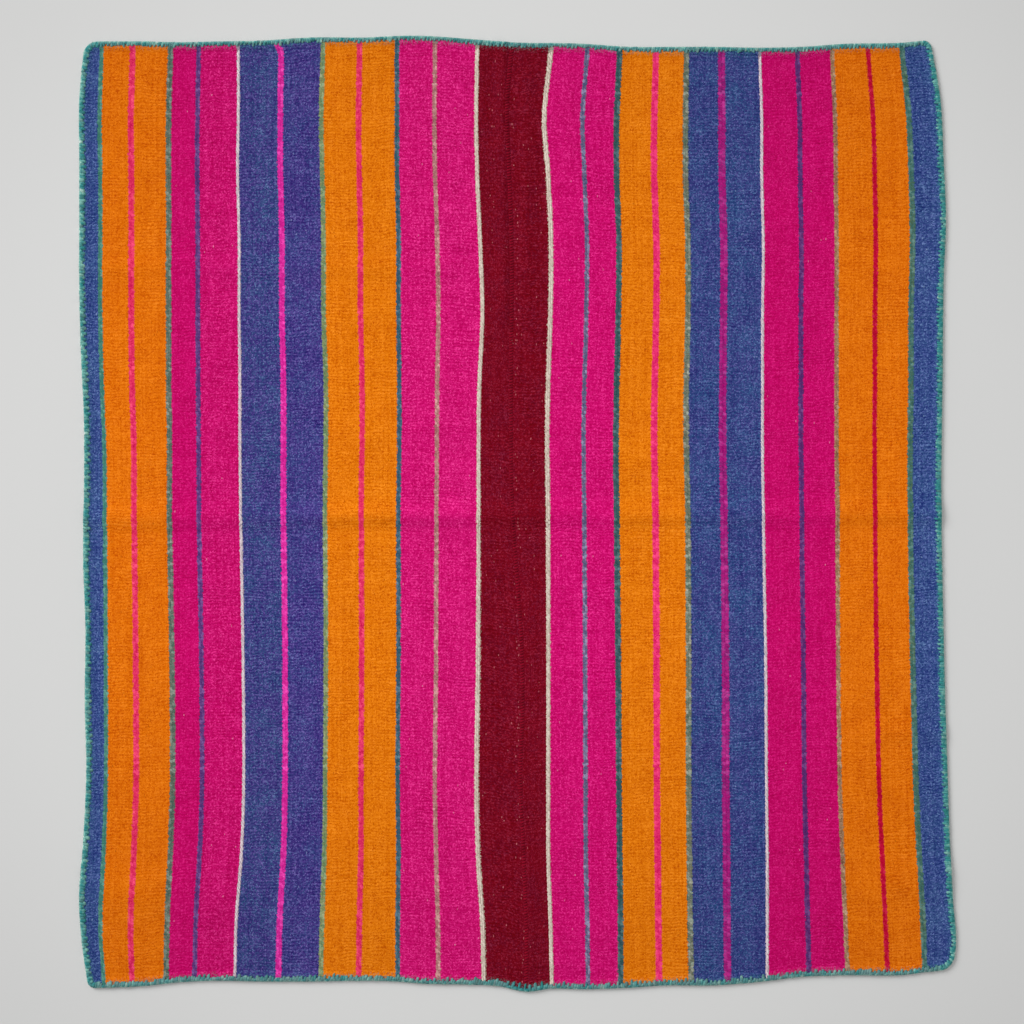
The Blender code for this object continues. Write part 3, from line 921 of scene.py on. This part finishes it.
def bend_yarns(template, paths, half_widths, half_thickness, widening):
    """Bends one straight yarn along each path of points, flattened to its width and thickness.

    Each path comes with the direction of the yarn's width. `widening` gives the yarn's share of its
    full width at places from 0 to 1 along it.
    """
    points = []
    stations = template[:, 2]
    share = np.interp(stations, *widening)
    for (path, side), half_width in zip(paths, half_widths):
        knots = np.linspace(0.0, 1.0, len(path))

        def place(at):
            return np.stack([np.interp(np.clip(at, 0.0, 1.0), knots, path[:, k]) for k in range(3)], -1)

        centre, along = place(stations), place(stations + 0.02) - place(stations - 0.02)
        along /= np.maximum(np.linalg.norm(along, axis=1, keepdims=True), 1e-9)
        wide = side - along * (along @ side)[:, None]
        wide /= np.maximum(np.linalg.norm(wide, axis=1, keepdims=True), 1e-9)
        normal = np.cross(along, wide)
        points.append(
            centre
            + wide * (template[:, 0] * half_width * share)[:, None]
            + normal * (template[:, 1] * half_thickness * (0.4 + 0.6 * share))[:, None]
        )
    return np.concatenate(points)


def sew_seam(settings):
    """The joining seam: short slanted stitches of dark red yarn from selvedge to selvedge."""
    chance = random.Random(41)
    template, faces = yarn_template(3)
    paths, tones = [], []
    for height in np.arange(FOOT_HEIGHT + 8.0, HEAD_HEIGHT - 8.0, SEAM_PITCH):
        rise = (2.4 + chance.uniform(-0.5, 0.5)) / 2
        start = np.ravel(cloth_top("left", [-SEAM_BITE], [height - rise], settings.cloth)[:3])
        end = np.ravel(cloth_top("right", [SEAM_BITE], [height + rise], settings.cloth)[:3])
        way = ((0.0, -0.5), (0.2, 0.05), (0.5, 0.05), (0.8, 0.05), (1.0, -0.5))
        path = np.array([start * (1 - t) + end * t + (0, 0, lift) for t, lift in way])
        paths.append((path, np.array((0.0, 1.0, 0.0))))
        tones.append(chance.random())
    widening = ((0.0, 0.2, 0.8, 1.0), (0.4, 1.0, 1.0, 0.4))
    points = bend_yarns(template, paths, [1.7] * len(paths), 0.3, widening)
    finish = plied_yarn("dark_red_sewing_yarn", ((0.0, linear("#76081E")), (1.0, linear("#8C0C26"))))
    all_faces = repeat_faces(faces, len(paths), len(template))
    piece = mesh_piece("seam_stitches", points, all_faces, finish)
    set_values(piece, "tone", np.repeat(tones, len(template)))
    return piece


def rim_line():
    """The whole outline, anticlockwise from the lower left corner: its points and the side each is on."""
    turn = np.linspace(0.0, math.pi / 2, 24)[:, None]
    runs, sides = [], []
    for line, start, stop in RIM_WALK:
        is_end = line in ("top", "bottom")
        first, last = (crossing(corner)[0 if is_end else 1] for corner in (start, stop))
        way = 1 if last > first else -1
        first, last = first + way * CORNER_RADIUS[start], last - way * CORNER_RADIUS[stop]
        places = np.linspace(first, last, max(2, int(abs(last - first) / 1.5)), endpoint=False)
        edge = EDGE_OF[line](places)
        runs.append(np.stack((places, edge) if is_end else (edge, places), -1))

        # The round corner that follows
        end, side = stop.split("_")
        sharp, radius = crossing(stop), CORNER_RADIUS[stop]
        high = sharp[1] + (radius if end == "bottom" else -radius)
        wide = sharp[0] + (radius if side == "left" else -radius)
        side_way = np.array((float(EDGE_OF[side](high)), high)) - sharp
        end_way = np.array((wide, float(EDGE_OF[end](wide)))) - sharp
        arc = sharp + (1 - np.sin(turn)) * side_way + (1 - np.cos(turn)) * end_way
        runs.append(arc[::-1] if is_end else arc)
        sides += [line] * len(places) + [side] * len(arc)
    points = np.concatenate(runs)
    keep = np.concatenate(([True], np.linalg.norm(np.diff(points, axis=0), axis=1) > 0.05))
    return points[keep], np.array(sides)[keep]


class RimPath:
    """Reads the outline at any distance along it."""

    def __init__(self):
        self.points, self.sides = rim_line()
        closed = np.concatenate((self.points, self.points[:1]))
        steps = np.linalg.norm(np.diff(closed, axis=0), axis=1)
        self.places = np.concatenate(([0.0], np.cumsum(steps)))
        self.closed = closed
        self.length = self.places[-1]

    def at(self, places):
        places = np.mod(places, self.length)
        return np.stack([np.interp(places, self.places, self.closed[:, k]) for k in (0, 1)], -1)

    def inward(self, places):
        along = self.at(places + 2.5) - self.at(places - 2.5)
        along /= np.linalg.norm(along, axis=-1, keepdims=True)
        return np.stack((-along[..., 1], along[..., 0]), -1)

    def side(self, place):
        nearest = np.searchsorted(self.places, place % self.length) % len(self.sides)
        return str(self.sides[nearest])


def stitch_profile(reach, thick, cloth_thickness):
    """The way of one overcast stitch, as (inwards, height) steps from the face round to the back."""
    face = RIM_HEIGHT + cloth_thickness
    back = RIM_HEIGHT - thick * 0.55
    over_face = [(reach, face - 0.7), (reach - 0.6, face + thick * 0.5), (reach * 0.55, face + thick * 0.75)]
    round_rim = [(2.2, face + thick * 0.7), (0.95, face + thick * 0.1), (0.62, face * 0.55)]
    under_back = [(1.0, RIM_HEIGHT * 0.62), (2.4, back), (reach * 0.7, back), (reach - 0.8, RIM_HEIGHT + 0.5)]
    return np.array(over_face + round_rim + under_back)


def foundation_yarn(rim, middle):
    """The yarn that the stitches are worked over: its points, ring by ring, and its faces."""
    sides, stations = 8, np.arange(0.0, rim.length, 6.0)
    outline, inward = rim.at(stations), rim.inward(stations)
    base = fold_lift(outline[:, 0], outline[:, 1])
    angles = 2 * math.pi * np.arange(sides) / sides
    into, up = 1.55 + 1.20 * np.cos(angles), middle + 1.25 * np.sin(angles)
    ring = outline[:, None, :] + inward[:, None, :] * into[None, :, None]
    points = np.concatenate((ring, (up[None, :] + base[:, None])[..., None]), -1).reshape(-1, 3)
    here = np.arange(len(points)).reshape(-1, sides)
    ahead = np.roll(here, -1, 0)
    faces = np.stack((here, np.roll(here, -1, 1), np.roll(ahead, -1, 1), ahead), -1)
    return points, faces.reshape(-1, 4)


def overcast(settings):
    """The edging: teal yarn laid along the rim and overcast with close slanted stitches."""
    sizes = settings.edging
    chance = random.Random(17)
    rim = RimPath()
    template, faces = yarn_template(6)
    thick, cloth_thickness = sizes.yarn_thickness / MM, settings.cloth.thickness / MM
    paths, widths, tones, fading, outer_light_shares = [], [], [], [], []
    place, is_long = 0.0, False
    while place < rim.length - 2.0:
        is_long = not is_long
        side = SIDES[rim.side(place)]
        here = rim.at(np.array([place]))[0]
        at_foot = rim.side(place) == "bottom" and FOOT_KNOT["from"] < here[0] < FOOT_KNOT["to"]
        pitch = (FOOT_KNOT["pitch"] if at_foot else side.pitch) / 2 * chance.uniform(0.80, 1.20)
        reach = side.reach + chance.gauss(0.0, 0.5) * side.spread + 0.4 * math.sin(place / 37.0)
        reach -= 0.0 if is_long else SHORT_STITCH * chance.uniform(0.3, 1.5)
        tone, faded = chance.gauss(side.tone, 0.09), chance.gauss(side.faded, 0.08)
        width = pitch * (0.70 if is_long else 0.80)
        if at_foot:
            knot = math.sin(math.pi * (here[0] - FOOT_KNOT["from"]) / (FOOT_KNOT["to"] - FOOT_KNOT["from"]))
            aim = FOOT_KNOT["reach" if is_long else "short"]
            reach += (aim - reach) * knot * chance.uniform(0.8, 1.0)
            width *= 1.0 - (0.40 if is_long else -0.1) * knot
            tone += (FOOT_KNOT["tone"] - tone) * knot
            faded *= 1.0 - knot
        profile = stitch_profile(max(reach, 4.5), thick, cloth_thickness)
        lean = np.linspace(1.0, -0.7, len(profile)) * sizes.slant / MM * chance.uniform(0.7, 1.3)
        outline, inward = rim.at(place + lean), rim.inward(place + lean)
        bulge = 0.9 * noise.noise(Vector((place / 11.0, 2.0, 5.0)))
        flat = outline + inward * (profile[:, :1] + bulge * (1.0 - profile[:, :1] / reach))
        base = fold_lift(here[:1], here[1:])[0]
        path = np.column_stack((flat, profile[:, 1] + base))
        paths.append((path, np.array((inward[0][1], -inward[0][0], 0.0))))
        widths.append(width)
        tones.append(min(1.0, max(0.0, tone)))
        fading.append(min(1.0, max(0.0, faded)))
        # How much painted light this side's outer turn takes
        outer_light_shares.append(side.worn)
        place += pitch
    widening = ((0.0, 0.05, 0.14, 0.40, 0.60, 0.90, 1.0), (0.45, 0.78, 0.95, 1.0, 1.0, 0.75, 0.35))
    stitches = bend_yarns(template, paths, widths, thick / 2, widening)
    # The inner tips of each stitch are drawn a little paler, and its outer turn paler still: painted light,
    # most on the right and bottom sides, which the key leaves in shade
    tips = np.interp(template[:, 2], (0.0, 0.14, 0.29), (0.08, 0.05, 0.0))
    turn = np.interp(template[:, 2], (0.29, 0.43, 0.57), (0.0, 0.28, 1.0))
    tones = (np.array(tones)[:, None] + tips + np.array(outer_light_shares)[:, None] * turn).ravel()
    core, core_faces = foundation_yarn(rim, RIM_HEIGHT + cloth_thickness / 2)
    all_faces = repeat_faces(faces, len(paths), len(template)) + (core_faces + len(stitches)).tolist()
    tints = (
        (0.0, sizes.dark_colour), (0.45, sizes.colour), (0.82, sizes.light_colour), (1.0, sizes.worn_colour)
    )
    finish = plied_yarn("teal_overcast_wool", tints, sizes.faded_colour)
    points = np.concatenate((stitches, core))
    piece = mesh_piece("edging_stitches", points, all_faces, finish)
    set_values(piece, "tone", np.concatenate((tones, np.full(len(core), 0.35))))
    set_values(piece, "faded", np.concatenate((np.repeat(fading, len(template)), np.zeros(len(core)))))
    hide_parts("edging")
    return piece


class AGUAYO_OT_weave_strips(bpy.types.Operator):
    """Weave the two striped strips on the folds of their solids"""

    bl_idname = "aguayo.weave_strips"
    bl_label = "Weave strips"

    def execute(self, context):
        for strip in ("left", "right"):
            weave_strip(strip, context.scene.aguayo)
        return {"FINISHED"}


class AGUAYO_OT_raise_lines(bpy.types.Operator):
    """Lay the thick undyed yarns of the pale warp lines"""

    bl_idname = "aguayo.raise_lines"
    bl_label = "Raise pale lines"

    def execute(self, context):
        for dye in PALE_LINES:
            raise_line(dye, context.scene.aguayo)
        return {"FINISHED"}


class AGUAYO_OT_sew_seam(bpy.types.Operator):
    """Sew the two strips together along their selvedges"""

    bl_idname = "aguayo.sew_seam"
    bl_label = "Sew seam"

    def execute(self, context):
        sew_seam(context.scene.aguayo)
        return {"FINISHED"}


class AGUAYO_OT_overcast_rim(bpy.types.Operator):
    """Overcast the whole rim with teal yarn"""

    bl_idname = "aguayo.overcast_rim"
    bl_label = "Overcast rim"

    def execute(self, context):
        overcast(context.scene.aguayo)
        return {"FINISHED"}


class AGUAYO_OT_declare_sheets(bpy.types.Operator):
    """An empty step: it states nothing about the strips or what is sewn to them"""

    bl_idname = "aguayo.declare_sheets"
    bl_label = "Declare sheets"

    def execute(self, context):
        return {"FINISHED"}


class AGUAYO_OT_set_stage(bpy.types.Operator):
    """Set out the pale floor, the soft lights and the camera straight above"""

    bl_idname = "aguayo.set_stage"
    bl_label = "Set stage"

    def execute(self, context):
        settings = context.scene.aguayo.stage
        deselect()
        bpy.ops.mesh.primitive_plane_add(size=14.0, location=(0.0, 0.0, -0.3 * MM))
        bpy.ops.object.transform_apply(location=True)
        floor = context.object
        floor.name = "floor"
        finish = bpy.data.materials.new("painted_table_grey")
        finish.use_nodes = True
        tree = finish.node_tree
        shader = tree.nodes["Principled BSDF"]
        # Painted shade: the floor's colour darkens away from the middle, as the light falls off towards the
        # corners
        place = add(tree, "TexCoord", out="Object")
        away = add(tree, "VectorMath", {0: place}, out="Value", operation="LENGTH")
        painted_corner_shade = add(tree, "MapRange", {"Value": away, "From Min": 0.60, "From Max": 1.0, "To Max": 0.10},
                     interpolation_type="SMOOTHSTEP")
        colour = add(tree, "Mix", {"Factor": painted_corner_shade, "A": (*settings.floor_colour, 1.0),
                                   "B": (0.0, 0.0, 0.0, 1.0)}, out="Result", data_type="RGBA")
        tree.links.new(colour, shader.inputs["Base Color"])
        shader.inputs["Roughness"].default_value = 0.95
        shader.inputs["Specular IOR Level"].default_value = 0.1
        floor.data.materials.append(finish)

        bpy.ops.object.light_add(type="AREA", location=(-7.9, 6.9, 6.9))
        key = context.object
        key.name = "softbox"
        key.data.shape = "DISK"
        key.data.size = 7.5
        key.data.energy = settings.key_power
        key.rotation_euler = (-key.location).to_track_quat("-Z", "Y").to_euler()

        world = bpy.data.worlds.new("even_light")
        context.scene.world = world
        world.use_nodes = True
        background = world.node_tree.nodes["Background"]
        background.inputs["Color"].default_value = (1.0, 1.0, 1.0, 1.0)
        background.inputs["Strength"].default_value = settings.fill

        sensor = 36.0
        distance = settings.view_width * settings.lens / sensor
        bpy.ops.object.camera_add(location=(-7.1 * MM, 2.2 * MM, distance), rotation=(0.0, 0.0, 0.0))
        camera = context.object
        camera.name = "camera_above"
        camera.data.sensor_width = sensor
        camera.data.lens = settings.lens
        camera.data.clip_end = 100.0
        context.scene.camera = camera
        context.scene.view_settings.view_transform = "Standard"
        context.scene.view_settings.look = "None"
        return {"FINISHED"}


class AGUAYO_PT_panel(bpy.types.Panel):
    """Steps that make the cloth, and the sizes they use"""

    bl_label = "Aguayo"
    bl_idname = "AGUAYO_PT_panel"
    bl_space_type = "VIEW_3D"
    bl_region_type = "UI"
    bl_category = "Aguayo"

    def draw(self, context):
        for step in STEPS:
            self.layout.operator(step.bl_idname)
        settings = context.scene.aguayo
        for group in (settings.cloth, settings.weave, settings.edging, settings.stage, settings.dyes):
            box = self.layout.box()
            for name in group.__annotations__:
                box.prop(group, name)


GROUPS = (ClothSizes, WeaveLook, EdgingSizes, StageSettings, DyeColours, AguayoSettings)
STEPS = (
    AGUAYO_OT_weave_strips,
    AGUAYO_OT_raise_lines,
    AGUAYO_OT_sew_seam,
    AGUAYO_OT_overcast_rim,
    AGUAYO_OT_declare_sheets,
    AGUAYO_OT_set_stage,
)


def register():
    for item in (*GROUPS, *STEPS, AGUAYO_PT_panel):
        bpy.utils.register_class(item)
    bpy.types.Scene.aguayo = PointerProperty(type=AguayoSettings)


def unregister():
    del bpy.types.Scene.aguayo
    for item in reversed((*GROUPS, *STEPS, AGUAYO_PT_panel)):
        bpy.utils.unregister_class(item)


def main():
    register()
    bpy.ops.aguayo.weave_strips()
    bpy.ops.aguayo.raise_lines()
    bpy.ops.aguayo.sew_seam()
    bpy.ops.aguayo.overcast_rim()
    bpy.ops.aguayo.declare_sheets()
    bpy.ops.aguayo.set_stage()
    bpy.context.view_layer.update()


if __name__ == "__main__":
    main()
